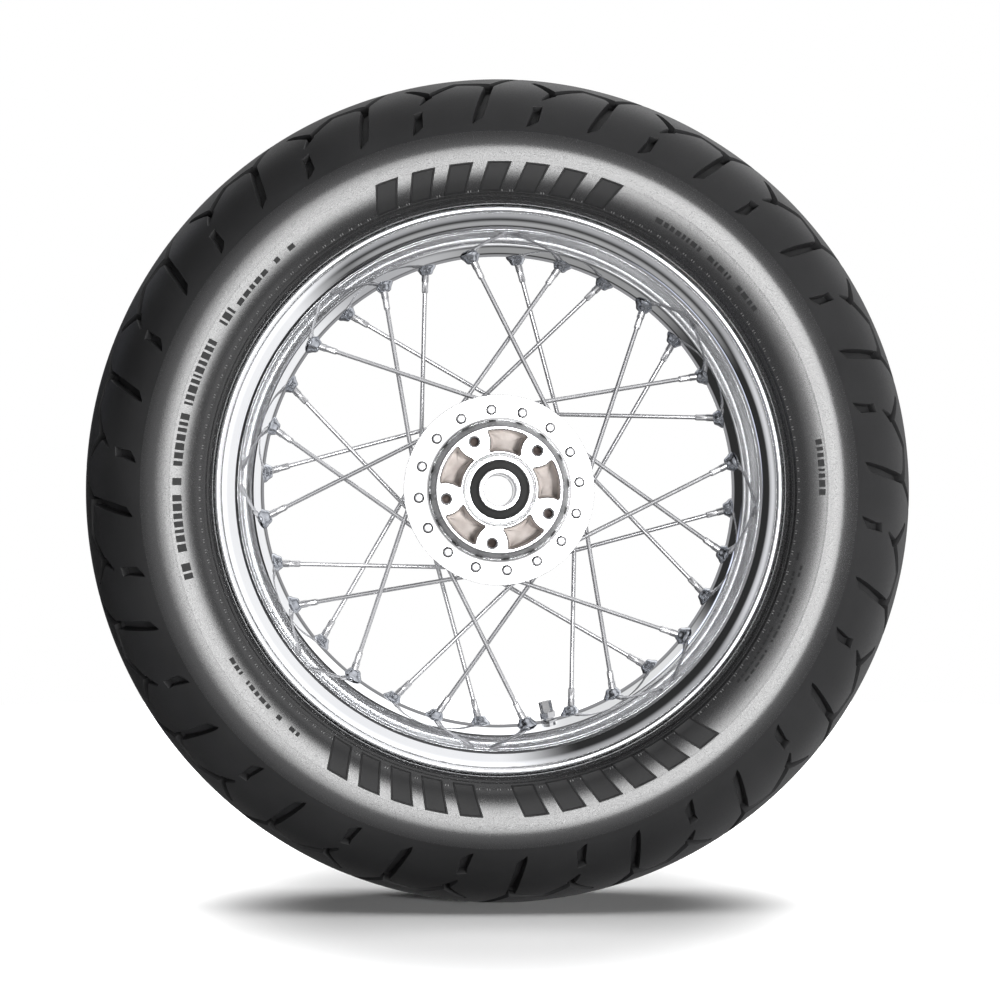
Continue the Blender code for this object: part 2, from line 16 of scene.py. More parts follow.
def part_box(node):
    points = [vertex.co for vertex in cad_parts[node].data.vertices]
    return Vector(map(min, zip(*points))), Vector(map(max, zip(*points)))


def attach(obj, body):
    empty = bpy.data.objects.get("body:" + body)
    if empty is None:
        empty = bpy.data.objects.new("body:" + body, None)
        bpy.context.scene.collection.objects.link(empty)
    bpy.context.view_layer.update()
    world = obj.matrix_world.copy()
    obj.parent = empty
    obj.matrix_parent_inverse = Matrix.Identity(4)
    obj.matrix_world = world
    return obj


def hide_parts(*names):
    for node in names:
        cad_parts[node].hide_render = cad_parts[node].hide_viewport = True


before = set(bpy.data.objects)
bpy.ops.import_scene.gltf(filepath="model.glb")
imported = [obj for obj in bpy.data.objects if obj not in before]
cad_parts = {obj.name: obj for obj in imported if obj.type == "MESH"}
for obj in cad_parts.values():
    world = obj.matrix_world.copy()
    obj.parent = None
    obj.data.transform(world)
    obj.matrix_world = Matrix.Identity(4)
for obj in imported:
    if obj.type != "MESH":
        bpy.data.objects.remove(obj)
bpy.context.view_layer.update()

WHEEL = "wheel"
AXLE = "axle_side"
SIDES = ((1, "disc_side"), (-1, "drive_side"))

# Sizes that the solids settle
TYRE_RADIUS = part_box("tyre_tread")[1].z
TYRE_HALF_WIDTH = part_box("tyre_sidewall_drive_side")[1].y
HUB_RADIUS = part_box("hub_shell")[1].z
BOSS_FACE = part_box("hub_shell")[1].y
BEARING_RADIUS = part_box("bearing_outer_race_disc_side")[1].z
BEARING_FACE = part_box("bearing_outer_race_drive_side")[1].y
SPACER_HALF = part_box("axle_spacer")[1].y

MM = 0.001
BEARING_WIDTH = 0.0150


# ---- mesh helpers -----------------------------------------------------------------------------


def around(radius, angle, height):
    """World points for wheel coordinates, which may be arrays."""
    radius, angle, height = np.broadcast_arrays(radius, angle, height)
    return np.stack([radius * np.cos(angle), -height, radius * np.sin(angle)], axis=-1)


def mesh_of(name, points, faces):
    """A mesh from points and equal-length faces, as arrays."""
    mesh = bpy.data.meshes.new(name)
    mesh.vertices.add(len(points))
    mesh.vertices.foreach_set("co", np.ascontiguousarray(points, np.float32).ravel())
    mesh.loops.add(faces.size)
    mesh.loops.foreach_set("vertex_index", np.ascontiguousarray(faces, np.int32).ravel())
    mesh.polygons.add(len(faces))
    mesh.polygons.foreach_set("loop_start", np.arange(0, faces.size, faces.shape[1]))
    mesh.update(calc_edges=True)
    mesh.validate()
    return mesh


def face_outwards(mesh, merge_distance=1e-6):
    work = bmesh.new()
    work.from_mesh(mesh)
    bmesh.ops.remove_doubles(work, verts=work.verts, dist=merge_distance)
    bmesh.ops.recalc_face_normals(work, faces=work.faces)
    work.to_mesh(mesh)
    work.free()


def smooth(mesh, sharp_degrees=32):
    mesh.shade_smooth()
    mesh.set_sharp_from_angle(angle=math.radians(sharp_degrees))


def object_of(name, mesh, surface):
    made = bpy.data.objects.new(name, mesh)
    bpy.context.scene.collection.objects.link(made)
    if surface is not None:
        mesh.materials.clear()
        mesh.materials.append(surface)
    return made


def grid_faces(rows, columns, wrap_rows, wrap_columns):
    """Quads over a grid of points stored row by row."""
    row = np.arange(rows if wrap_rows else rows - 1)
    column = np.arange(columns if wrap_columns else columns - 1)
    row, column = np.meshgrid(row, column, indexing="ij")
    below, beside = (row + 1) % rows, (column + 1) % columns
    corners = [(row, column), (row, beside), (below, beside), (below, column)]
    return np.stack([(r * columns + c).ravel() for r, c in corners], axis=1)


def turned_mesh(name, profile, steps, closed=True):
    """A profile of (radius, height) turned round the wheel's axle."""
    profile = np.asarray(profile, float)
    angle = np.arange(steps) * 2 * math.pi / steps
    points = around(profile[:, None, 0], angle[None, :], profile[:, None, 1])
    faces = grid_faces(len(profile), steps, closed, True)
    mesh = mesh_of(name, points.reshape(-1, 3), faces)
    face_outwards(mesh)
    smooth(mesh)
    return mesh


def rounded(corners, closed=True, arc_points=5):
    """A profile through (radius, height, rounding) corners.

    Each corner is cut back by its rounding along both of its edges.
    """
    made = []
    count = len(corners)
    for i, (radius, height, back) in enumerate(corners):
        here = np.array([radius, height], float)
        at_end = not closed and i in (0, count - 1)
        if at_end or back <= 0:
            made.append(here)
            continue
        before = np.array(corners[i - 1][:2], float) - here
        after = np.array(corners[(i + 1) % count][:2], float) - here
        reach = [min(back, 0.48 * np.linalg.norm(v)) for v in (before, after)]
        start = here + before / np.linalg.norm(before) * reach[0]
        end = here + after / np.linalg.norm(after) * reach[1]
        for s in np.linspace(0, 1, arc_points):
            made.append((1 - s) ** 2 * start + 2 * s * (1 - s) * here + s**2 * end)
    return np.array(made)


def sheet_profile(line, thickness):
    """A closed profile for sheet of this thickness along an open line."""
    ahead = np.gradient(line, axis=0)
    ahead /= np.linalg.norm(ahead, axis=1)[:, None]
    across = np.stack([-ahead[:, 1], ahead[:, 0]], axis=1) * thickness / 2
    return np.concatenate([line + across, (line - across)[::-1]])


def evaluated_mesh(made):
    graph = bpy.context.evaluated_depsgraph_get()
    return bpy.data.meshes.new_from_object(made.evaluated_get(graph))


def cutter_object(name, work):
    """The closed cutters drawn in a bmesh, as one object."""
    bmesh.ops.recalc_face_normals(work, faces=work.faces)
    mesh = bpy.data.meshes.new(name)
    work.to_mesh(mesh)
    work.free()
    return object_of(name, mesh, None)


def carved(target, cutters, has_overlaps=False):
    """Cuts one joined mesh of closed cutters out of the target and returns the finished mesh."""
    change = target.modifiers.new("carved", "BOOLEAN")
    change.operation = "DIFFERENCE"
    change.solver = "EXACT"
    change.use_self = has_overlaps
    change.object = cutters
    mesh = evaluated_mesh(target)
    target.modifiers.clear()
    bpy.data.objects.remove(cutters)
    return mesh


def part(name, mesh, surface, body, node):
    """A finished piece: it stands for a CAD node and rides on that node's body."""
    made = object_of(name, mesh, surface)
    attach(made, body)
    if node:
        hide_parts(node)
    return made


# ---- materials --------------------------------------------------------------------------------


class Nodes:
    """A material's node tree, with short ways to add what the surfaces here share."""

    def __init__(self, name):
        self.material = bpy.data.materials.new(name)
        self.material.use_nodes = True
        self.tree = self.material.node_tree
        self.shader = self.tree.nodes["Principled BSDF"]
        self.place = self.add("ShaderNodeTexCoord").outputs["Object"]

    def add(self, kind, **settings):
        node = self.tree.nodes.new(kind)
        for key, value in settings.items():
            setattr(node, key, value)
        return node

    def link(self, source, target):
        self.tree.links.new(source, target)

    def noise(self, scale, detail=4.0, roughness=0.55):
        node = self.add("ShaderNodeTexNoise")
        node.inputs["Scale"].default_value = scale
        node.inputs["Detail"].default_value = detail
        node.inputs["Roughness"].default_value = roughness
        self.link(self.place, node.inputs["Vector"])
        return node.outputs["Fac"]

    def ramp(self, value, stops):
        """A colour ramp from (position, colour) stops, where a colour may be one grey value."""
        node = self.add("ShaderNodeValToRGB")
        line = node.color_ramp.elements
        while len(line) < len(stops):
            line.new(0.5)
        for element, (position, colour) in zip(line, stops):
            element.position = position
            grey = isinstance(colour, (int, float))
            element.color = (colour, colour, colour, 1) if grey else (*colour, 1)
        self.link(value, node.inputs["Fac"])
        return node.outputs["Color"]

    def drive(self, socket, value, stops):
        self.link(self.ramp(value, stops), self.shader.inputs[socket])

    def bump(self, height, strength, distance):
        node = self.add("ShaderNodeBump")
        node.inputs["Strength"].default_value = strength
        node.inputs["Distance"].default_value = distance
        self.link(height, node.inputs["Height"])
        self.link(node.outputs["Normal"], self.shader.inputs["Normal"])

    def set(self, **values):
        for key, value in values.items():
            self.shader.inputs[key.replace("_", " ")].default_value = value


def rubber(name, dark, light, rough, grain=900, specular=0.5, bump=0.18):
    nodes = Nodes(name)
    cloudy = nodes.noise(14, 5)
    nodes.drive("Base Color", cloudy, ((0.3, dark), (0.7, light)))
    fine = nodes.noise(grain, 3)
    nodes.drive("Roughness", fine, ((0.3, rough - 0.06), (0.7, rough + 0.06)))
    nodes.bump(fine, bump, 0.0002)
    nodes.set(Specular_IOR_Level=specular)
    return nodes.material


def metal(name, dark, light, low_rough, high_rough, cloud=30, grain=0, bump=0.0, metallic=1.0):
    """A metal whose colour drifts a little and whose roughness carries fine wear."""
    nodes = Nodes(name)
    nodes.set(Metallic=metallic)
    drift = nodes.noise(cloud, 4)
    nodes.drive("Base Color", drift, ((0.3, dark), (0.7, light)))
    wear = nodes.noise(grain or cloud * 9, 5, 0.6)
    nodes.drive("Roughness", wear, ((0.35, low_rough), (0.7, high_rough)))
    if bump:
        nodes.bump(wear, bump, 0.0002)
    return nodes.material


TREAD = rubber("tread_rubber", (0.010, 0.010, 0.0104), (0.015, 0.015, 0.0155), 0.46, specular=0.24)
SIDEWALL = rubber(
    "sidewall_rubber", (0.008, 0.008, 0.0083), (0.011, 0.011, 0.0113), 0.24, 1400, specular=0.75, bump=0.05
)
MARK = rubber(
    "raised_mark_rubber", (0.006, 0.006, 0.0063), (0.011, 0.011, 0.0113), 0.52, 1400, specular=0.34
)
# The bead ticks are black rubber on the real tyre. Their light grey colour is a painted highlight, as if
# each raised tick caught the light.
BEAD_TICK_HIGHLIGHT = rubber("bead_tick_painted_highlight", (0.10, 0.10, 0.10), (0.18, 0.18, 0.18), 0.35, 1400)
CHROME = metal("rim_chrome", (0.86, 0.87, 0.89), (0.91, 0.92, 0.93), 0.035, 0.075, 12, 240)
PRESSED = metal("boss_chrome", (0.42, 0.44, 0.48), (0.56, 0.58, 0.62), 0.14, 0.26, 60, 600)
ZINC = metal("spoke_plating", (0.56, 0.56, 0.57), (0.68, 0.68, 0.69), 0.20, 0.28, 60, 900)
POLISHED = metal("hub_polish", (0.86, 0.86, 0.86), (0.92, 0.92, 0.92), 0.16, 0.30, 25, 500, 0.03)
CAST = metal(
    "pocket_casting", (0.34, 0.30, 0.28), (0.52, 0.48, 0.455), 0.6, 0.8, 90, 1500, 0.35, metallic=0.0
)
TURNED = metal("turned_edge", (0.24, 0.24, 0.245), (0.34, 0.34, 0.345), 0.22, 0.38, 40, 900)
RACE = metal("race_steel", (0.70, 0.70, 0.71), (0.82, 0.82, 0.83), 0.10, 0.20, 50, 700)
SEAL = rubber("seal_rubber", (0.010, 0.010, 0.010), (0.030, 0.030, 0.030), 0.5, 1200, specular=0.12)
# Near-black metal on the steep skirt of each spoke head: painted shade that outlines the head where it sits
# on the flange, not a colour of the plating.
HEAD_OUTLINE_SHADE = metal("spoke_head_painted_shade", (0.04, 0.04, 0.04), (0.12, 0.12, 0.12), 0.25, 0.4, 90, 900)
# Near-black for the bores of the bolt holes: painted shade for the dark inside of each hole, not the colour
# of the metal.
BOLT_BORE_SHADE = metal("bolt_bore_painted_shade", (0.010, 0.008, 0.007), (0.05, 0.04, 0.037), 0.30, 0.5, 80, 900)


# ---- tyre -------------------------------------------------------------------------------------

WIDEST_RADIUS = 0.2620
TREAD_EDGE_RADIUS = 0.2720
TREAD_DEPTH = 0.0095
SHOULDER_DEPTH = 0.0055
TREAD_EDGE = math.asin((TREAD_EDGE_RADIUS - WIDEST_RADIUS) / (TYRE_RADIUS - WIDEST_RADIUS))
PITCHES = 20
PITCH = 2 * math.pi / PITCHES
PITCH_COLUMNS = 36
HALF_ROWS = 40
FIRST_GROOVE = math.radians(1.5)
PITCH_START = math.radians(-5.5)
FLAT_RADIUS = 0.3000
GROOVE_DEPTH = 0.0060
SLAB = 0.0120


def arch(t, inset=0.0):
    """Radius and height over the crown, for arch angle t from the disc side."""
    rise = TYRE_RADIUS - WIDEST_RADIUS - inset
    half_width = TYRE_HALF_WIDTH - inset * SHOULDER_DEPTH / TREAD_DEPTH
    return WIDEST_RADIUS + rise * np.sin(t), half_width * np.cos(t)


ARCH_TABLE = np.linspace(TREAD_EDGE, math.pi / 2, 400)
ARCH_R, ARCH_H = arch(ARCH_TABLE)
ARCH_LENGTH = np.concatenate([[0], np.cumsum(np.hypot(np.diff(ARCH_R), np.diff(ARCH_H)))])
HALF_ARCH = ARCH_LENGTH[-1]


def flat(angle_degrees, arch_degrees):
    """Where a place on the tread lies in the flat pitch: along it, and up from the tread's edge."""
    along = math.radians(angle_degrees) * FLAT_RADIUS
    return along, float(np.interp(math.radians(arch_degrees), ARCH_TABLE, ARCH_LENGTH))


# Each groove of one pitch, as an outline of (degrees round the wheel from the long groove's outer
# end, arch degrees).
GROOVES = (
    # long groove, widest towards the shoulder and pointed at its inner end
    ((-0.70, 54.0), (0.35, 32.0), (1.20, 20.0), (2.75, 15.6), (2.70, 18.5), (1.60, 35.0), (0.62, 52.0)),
    # branch along the shoulder
    ((-0.70, 53.0), (0.62, 51.5), (1.30, 54.6), (4.50, 57.6), (8.00, 46.6), (8.90, 45.4), (9.00, 48.6),
     (8.40, 50.6), (4.90, 61.6), (0.80, 58.6), (-0.55, 56.5)),
    # fork
    ((8.10, 47.2), (9.10, 45.2), (9.90, 50.0), (11.90, 61.0), (11.60, 62.5), (10.90, 61.0), (8.60, 50.4)),
    ((8.05, 48.6), (8.30, 44.6), (10.25, 37.6), (10.35, 38.6), (9.35, 46.6), (9.10, 48.8)),
    # branch over the crown
    ((-0.70, 53.6), (0.50, 54.4), (-0.50, 58.5), (-1.90, 66.0), (-3.60, 76.5), (-4.95, 83.5), (-4.70, 77.0),
     (-3.10, 66.0), (-1.70, 58.5)),
    # short groove
    ((10.15, 31.0), (11.50, 30.0), (11.50, 25.0), (12.30, 13.2), (11.55, 14.6), (10.55, 18.0),
     (10.35, 25.0)),
)


def offset_outline(outline, distance):
    """The closed outline moved outwards, corner by corner."""
    points = np.array(outline)
    before, after = np.roll(points, 1, axis=0), np.roll(points, -1, axis=0)
    turn = np.sum(points[:, 0] * after[:, 1] - after[:, 0] * points[:, 1])
    sign = 1 if turn > 0 else -1

    def side(a, b):
        run = b - a
        run /= np.linalg.norm(run, axis=1)[:, None]
        return np.stack([run[:, 1], -run[:, 0]], axis=1) * sign

    one, two = side(before, points), side(points, after)
    both = one + two
    scale = np.maximum(np.sum(both * one, axis=1), 0.55)
    return points + both * (distance / scale)[:, None]


def groove_cutters():
    """Every groove of one pitch as a tapered plug with a chamfered mouth, in the flat."""
    levels = ((0.0010, 0.0014), (-0.0004, 0.0), (-GROOVE_DEPTH, -0.0008))
    work = bmesh.new()
    for groove in GROOVES:
        outline = [flat(*corner) for corner in groove]
        rings = []
        for z, out in levels:
            moved = offset_outline(outline, out)
            rings.append([work.verts.new((x, y, z)) for x, y in moved])
        for top, bottom in zip(rings, rings[1:]):
            for i in range(len(top)):
                j = (i + 1) % len(top)
                work.faces.new((top[i], top[j], bottom[j], bottom[i]))
        work.faces.new(rings[0])
        work.faces.new(rings[-1][::-1])
    return cutter_object("groove_cutters", work)


def flat_pitch():
    """One pitch of half the tread, flat, with its grooves cut: points, and faces as lists."""
    length = PITCH * FLAT_RADIUS
    start = PITCH_START * FLAT_RADIUS
    columns = start + np.linspace(0, length, PITCH_COLUMNS + 1)
    rows = np.linspace(0, HALF_ARCH, HALF_ROWS + 1)
    y, x = np.meshgrid(rows, columns, indexing="ij")
    points = np.stack([x, y, np.zeros_like(x)], axis=-1).reshape(-1, 3)
    mesh = mesh_of("pitch", points, grid_faces(HALF_ROWS + 1, PITCH_COLUMNS + 1, False, False))
    work = bmesh.new()
    work.from_mesh(mesh)
    pushed = bmesh.ops.extrude_face_region(work, geom=work.faces[:])["geom"]
    low = [v for v in pushed if isinstance(v, bmesh.types.BMVert)]
    bmesh.ops.translate(work, verts=low, vec=(0, 0, -SLAB))
    bmesh.ops.recalc_face_normals(work, faces=work.faces)
    work.to_mesh(mesh)
    work.free()
    slab = object_of("pitch", mesh, None)
    cut = carved(slab, groove_cutters(), has_overlaps=True)
    bpy.data.objects.remove(slab)
    places = np.zeros(len(cut.vertices) * 3)
    cut.vertices.foreach_get("co", places)
    places = places.reshape(-1, 3)
    near = 1e-6
    borders = (
        places[:, 0] < start + near,
        places[:, 0] > start + length - near,
        places[:, 1] < near,
        places[:, 1] > HALF_ARCH - near,
        places[:, 2] < -SLAB + near,
    )
    faces = []
    for polygon in cut.polygons:
        corners = list(polygon.vertices)
        if not any(border[corners].all() for border in borders):
            faces.append(corners)
    return places, faces


def on_tread(places, side, turn):
    """Flat places wrapped onto the tyre, on this side of the crown."""
    t = np.interp(places[:, 1], ARCH_LENGTH, ARCH_TABLE)
    radius, height = arch(t)
    rise, half_width = TYRE_RADIUS - WIDEST_RADIUS, TYRE_HALF_WIDTH
    out_r, out_h = half_width * np.sin(t), rise * np.cos(t)
    length = np.hypot(out_r, out_h)
    radius = radius + places[:, 2] * out_r / length
    height = height + places[:, 2] * out_h / length
    angle = places[:, 0] / FLAT_RADIUS + turn
    return around(radius, angle, side * height)


def tread_mesh():
    """The grooved half pitch repeated round both sides, closed by the tread's edges and underside."""
    places, faces = flat_pitch()
    used = np.unique(np.concatenate([np.array(f) for f in faces]))
    renumber = np.zeros(len(places), int)
    renumber[used] = np.arange(len(used))
    places = places[used]
    flat_faces = [renumber[f] for f in faces]
    points, all_faces, count = [], [], 0
    for side, shift in ((1, 0.0), (-1, 0.5)):
        for i in range(PITCHES):
            turn = FIRST_GROOVE + (i + shift) * PITCH
            points.append(on_tread(places, side, turn))
            all_faces.extend((f + count).tolist() for f in flat_faces)
            count += len(places)
    steps = PITCHES * PITCH_COLUMNS
    under = [arch(TREAD_EDGE)]
    for t in np.linspace(TREAD_EDGE, math.pi - TREAD_EDGE, 9):
        under.append(arch(t, TREAD_DEPTH))
    under.append(arch(math.pi - TREAD_EDGE))
    under = np.array(under)
    angle = FIRST_GROOVE + PITCH_START + np.arange(steps) * 2 * math.pi / steps
    ring = around(under[:, None, 0], angle[None, :], under[:, None, 1]).reshape(-1, 3)
    points.append(ring)
    closing = grid_faces(len(under), steps, False, True) + count
    all_faces.extend(closing.tolist())
    mesh = bpy.data.meshes.new("tread")
    mesh.from_pydata(np.concatenate(points).tolist(), [], all_faces)
    face_outwards(mesh, merge_distance=2e-5)
    smooth(mesh, 38)
    return mesh


SIDE_STEPS = 480
# How far the sidewall's face tilts towards the axle, as (radius, degrees)
SIDE_TILTS = (
    (0.2185, 62.0), (0.2210, 51.0), (0.2250, 37.0), (0.2300, 24.0), (0.2345, 17.0), (0.2380, 13.6),
    (0.2420, 11.4), (0.2460, 9.5), (0.2500, 7.7), (0.2550, 5.5), (0.2590, 3.7), (0.2610, 1.2),
    (0.2632, -4.5), (0.2680, -8.5), (TREAD_EDGE_RADIUS, -13.0),
)
# Raised rings on the sidewall: radius, how proud, half width
SIDE_RINGS = (
    (0.2492, 0.00003, 0.0007),
    (0.2262, 0.00035, 0.0005),
    (0.2236, 0.00045, 0.0005),
    (0.2212, 0.00045, 0.0005),
)


def side_curve():
    """The sidewall's outer face from the tread's edge in to the rim, as (radius, height) points."""
    radii, tilts = np.array(SIDE_TILTS).T
    radius = np.linspace(TREAD_EDGE_RADIUS - 0.05 * MM, radii[0], 120)
    tilt = np.interp(radius, radii, tilts)
    smoothing = np.ones(9) / 9
    tilt = np.convolve(np.pad(tilt, 4, mode="edge"), smoothing, mode="valid")
    fall = np.tan(np.radians(tilt))
    steps = (fall[1:] + fall[:-1]) / 2 * np.diff(radius)
    height = np.concatenate([[0], np.cumsum(steps)])
    height += arch(TREAD_EDGE)[1]
    for ring_radius, proud, half_width in SIDE_RINGS:
        height += proud * np.exp(-(((radius - ring_radius) / half_width) ** 2))
    return np.stack([radius, height], axis=1)


SIDE_CURVE = side_curve()


def side_height(radius):
    order = np.argsort(SIDE_CURVE[:, 0])
    return np.interp(radius, SIDE_CURVE[order, 0], SIDE_CURVE[order, 1])


def sidewall_profile():
    """The sidewall's whole section: its outer face, round the rim's flange to the bead, and back."""
    inner_r, inner_h = arch(TREAD_EDGE, TREAD_DEPTH)
    gap = 0.3 * MM
    foot = rounded(
        [
            (SIDE_CURVE[-1][0], SIDE_CURVE[-1][1], 0),
            (0.2180, 0.0566, 1.0 * MM),
            (0.2174, 0.0482, 1.5 * MM),
            (0.2126, 0.04445, 1.5 * MM),
            (0.2048, 0.04445, 1.0 * MM),
            (0.2034, 0.0430, 1.0 * MM),
            (0.2034, 0.0344, 0),
        ],
        closed=False,
    )
    inside = [(0.2133, 0.0354), (0.2280, 0.0546), (WIDEST_RADIUS, 0.0700), (inner_r - 3 * gap, inner_h)]
    return np.concatenate([SIDE_CURVE, foot[1:], inside])


def add_sidewalls():
    profile = sidewall_profile()
    for side, name in SIDES:
        flipped = profile * np.array([1, side])
        mesh = turned_mesh(f"sidewall_{name}", flipped, SIDE_STEPS)
        part(f"sidewall_{name}", mesh, SIDEWALL, WHEEL, f"tyre_sidewall_{name}")


# How deep a mark's foot is buried in the sidewall, and how deep a bordered mark is sunk again
BURIED = 0.3 * MM
INSET = 0.5 * MM


def raised_patches(name, side, patches, proud, bevel, border=0.0):
    """Raised quads on one sidewall, sunk again inside the border if one is given.

    Each patch is four (degrees, radius) corners, in order round it.
    """
    from_edge = np.cumsum([0, bevel, border, bevel] if border else [0, bevel])
    points, faces, count = [], [], 0
    for corners in patches:
        quad = np.array(corners, float)
        mean_radius = quad[:, 1].mean()
        width = np.radians(abs(quad[1, 0] - quad[0, 0])) * mean_radius
        lean = np.radians(quad[3, 0] - quad[0, 0]) * mean_radius
        tall = np.linalg.norm([quad[3, 1] - quad[0, 1], lean])
        shares = []
        for length in (tall, width):
            edge = from_edge / length
            middle = np.linspace(edge[-1], 1 - edge[-1], 5)[1:-1]
            shares.append(np.concatenate([edge, middle, 1 - edge[::-1]]))
        v, u = np.meshgrid(*shares, indexing="ij")
        bottom = quad[0] + (quad[1] - quad[0]) * u[..., None]
        top = quad[3] + (quad[2] - quad[3]) * u[..., None]
        place = bottom + (top - bottom) * v[..., None]
        cells = len(u)
        rank = np.minimum(np.arange(cells), np.arange(cells)[::-1])
        rank = np.minimum(rank[:, None], rank[None, :])
        lift = np.where(rank == 0, -BURIED, proud)
        if border:
            lift = np.where(rank >= 3, proud - INSET, lift)
        radius = place[..., 1]
        angle = np.radians(place[..., 0] if side > 0 else 180 - place[..., 0])
        height = side * (side_height(radius) + lift)
        points.append(around(radius, angle, height).reshape(-1, 3))
        faces.append(grid_faces(cells, cells, False, False)[:, ::side] + count)
        count += cells * cells
    mesh = mesh_of(name, np.concatenate(points), np.concatenate(faces))
    smooth(mesh, 25)
    return mesh


def slanted_bars(centre, half_span, count, low, high, fill, lean):
    """A row of leaning bars round a centre angle, in degrees."""
    pitch = 2 * half_span / count
    made = []
    for i in range(count):
        a = centre - half_span + pitch * (i + (1 - fill) / 2)
        b = a + pitch * fill
        made.append(((a, low), (b, low), (b + lean, high), (a + lean, high)))
    return made


def dashes(centre, half_span, low, high, seed):
    """A line of small blocks with uneven widths, where a real tyre carries its small print."""
    random = np.random.default_rng(seed)
    made = []
    a = centre - half_span
    while a < centre + half_span:
        width = random.uniform(0.5, 1.5)
        if random.random() > 0.18:
            made.append(((a, low), (a + width, low), (a + width, high), (a, high)))
        a += width + 0.35
    return made


def add_marks():
    big = slanted_bars(92, 23.5, 7, 0.2265, 0.2490, 0.64, -2.0)
    big += slanted_bars(250.5, 15.5, 5, 0.2245, 0.2485, 0.68, 2.2)
    big += slanted_bars(291, 20.0, 6, 0.2245, 0.2485, 0.68, 2.2)
    small = []
    small += dashes(171, 25, 0.2405, 0.2475, 3)
    small += dashes(137, 7, 0.2400, 0.2440, 4)
    small += dashes(222, 10, 0.2380, 0.2415, 5)
    small += dashes(47, 12, 0.2350, 0.2390, 6)
    small += dashes(4, 5, 0.2420, 0.2470, 7)
    small += dashes(335, 14, 0.2310, 0.2330, 8)
    small += dashes(334, 12, 0.2350, 0.2370, 9)
    ticks = []
    for i in range(360):
        a = i + 0.5 * (i % 2)
        ticks.append(((a, 0.2268), (a + 0.20, 0.2268), (a + 0.20, 0.2282), (a, 0.2282)))
    for side, name in SIDES:
        bars = raised_patches(f"sidewall_bars_{name}", side, big, 0.9 * MM, 0.5 * MM, 0.8 * MM)
        part(f"sidewall_bars_{name}", bars, MARK, WHEEL, None)
        print_marks = raised_patches(f"sidewall_dashes_{name}", side, small, 0.35 * MM, 0.3 * MM)
        part(f"sidewall_dashes_{name}", print_marks, MARK, WHEEL, None)
        # The bead ticks wear the painted highlight colour, not plain tyre rubber.
        bead_marks = raised_patches(f"bead_ticks_{name}", side, ticks, 0.3 * MM, 0.15 * MM)
        part(f"bead_ticks_{name}", bead_marks, BEAD_TICK_HIGHLIGHT, WHEEL, None)


def add_tyre():
    part("tread", tread_mesh(), TREAD, WHEEL, "tyre_tread")
    add_sidewalls()
    add_marks()


# ---- rim --------------------------------------------------------------------------------------

RIM_SHEET = 0.0022
WELL_MIDDLE = 0.1854
RIM_STEPS = 400
BOSS_SIDES = 28
# The boss pressed out for each nipple: distance in from the sheet's middle and radius, in mm
BOSS = (
    (-1.0, 8.4), (0.6, 8.0), (1.6, 7.3), (2.8, 6.2), (4.0, 5.5), (5.2, 4.9), (5.9, 4.3), (6.2, 3.7),
    (6.2, 3.2), (4.6, 3.0),
)
SPOKE_COUNT = 32
SPOKE_PITCH = 2 * math.pi / SPOKE_COUNT
FIRST_NIPPLE = math.radians(6.8)

# One row of eight spokes each: side of the hub, lean from nipple to head, height in the rim, and
# how far inside the flange the elbow turns.
ROWS = (
    (1, math.radians(-68.7), 0.0100, 0.0023),
    (-1, math.radians(66.3), 0.0040, 0.0065),
    (1, math.radians(66.3), 0.0040, 0.0065),
    (-1, math.radians(-68.7), 0.0100, 0.0023),
)


def rim_line():
    """The middle of the sheet, from the disc side's curled lip through the well to the other lip."""
    half = [
        (0.2128, 0.0547, 0),
        (0.2134, 0.0562, 1.4 * MM),
        (0.2152, 0.0569, 1.4 * MM),
        (0.2168, 0.0559, 1.4 * MM),
        (0.2173, 0.0538, 1.4 * MM),
        (0.2161, 0.0512, 1.6 * MM),
        (0.2132, 0.0507, 1.2 * MM),
        (0.2088, 0.0484, 2.2 * MM),
        (0.2045, 0.0453, 2.2 * MM),
        (0.2011, 0.0417, 2.0 * MM),
        (0.2001, 0.0400, 0.8 * MM),
        (0.1950, 0.0319, 3.4 * MM),
        (0.1905, 0.0240, 4.8 * MM),
        (0.1862, 0.0120, 5.6 * MM),
        (WELL_MIDDLE, 0.0, 0),
    ]
    line = rounded(half, closed=False, arc_points=5)
    return np.concatenate([line, (line * np.array([1, -1]))[-2::-1]])


def add_rim():
    mesh = turned_mesh("rim", sheet_profile(rim_line(), RIM_SHEET), RIM_STEPS)
    smooth(mesh, 40)
    part("rim_chromed", mesh, CHROME, WHEEL, "rim")
    add_bosses()


def add_bosses():
    """The cups pressed out of the well for the nipples, each pointing along its spoke."""
    points, faces = [], []
    cup = grid_faces(len(BOSS), BOSS_SIDES, False, True)
    round_cup = np.arange(BOSS_SIDES) * 2 * math.pi / BOSS_SIDES
    for i in range(SPOKE_COUNT):
        corner, at_rim, along = spoke_line(ROWS[i % len(ROWS)])
        inward = -(along + Vector((1, 0, 0))).normalized()
        across = inward.orthogonal().normalized()
        beside = inward.cross(across)
        turn = FIRST_NIPPLE + i * SPOKE_PITCH
        rings = []
        for step, radius in BOSS:
            ring = np.array(at_rim + inward * (step * MM))
            ring = ring + radius * MM * np.cos(round_cup)[:, None] * np.array(across)
            ring = ring + radius * MM * np.sin(round_cup)[:, None] * np.array(beside)
            rings.append(ring)
        x, y, h = np.concatenate(rings).T
        points.append(around(np.hypot(x, y), np.arctan2(y, x) + turn, h))
        faces.append(cup + i * len(BOSS) * BOSS_SIDES)
    mesh = mesh_of("rim_bosses", np.concatenate(points), np.concatenate(faces))
    face_outwards(mesh)
    smooth(mesh, 50)
    part("rim_bosses", mesh, PRESSED, WHEEL, None)


# ---- spokes -----------------------------------------------------------------------------------

HEAD_CIRCLE = 0.0622
FLANGE_TOP = 0.0380
FLANGE_BOTTOM = 0.0310
ELBOW_RADIUS = 0.0024
SPOKE_SIDES = 20
BEND_STEPS = 9

# The radius of the wire, in mm
WIRE = 1.70
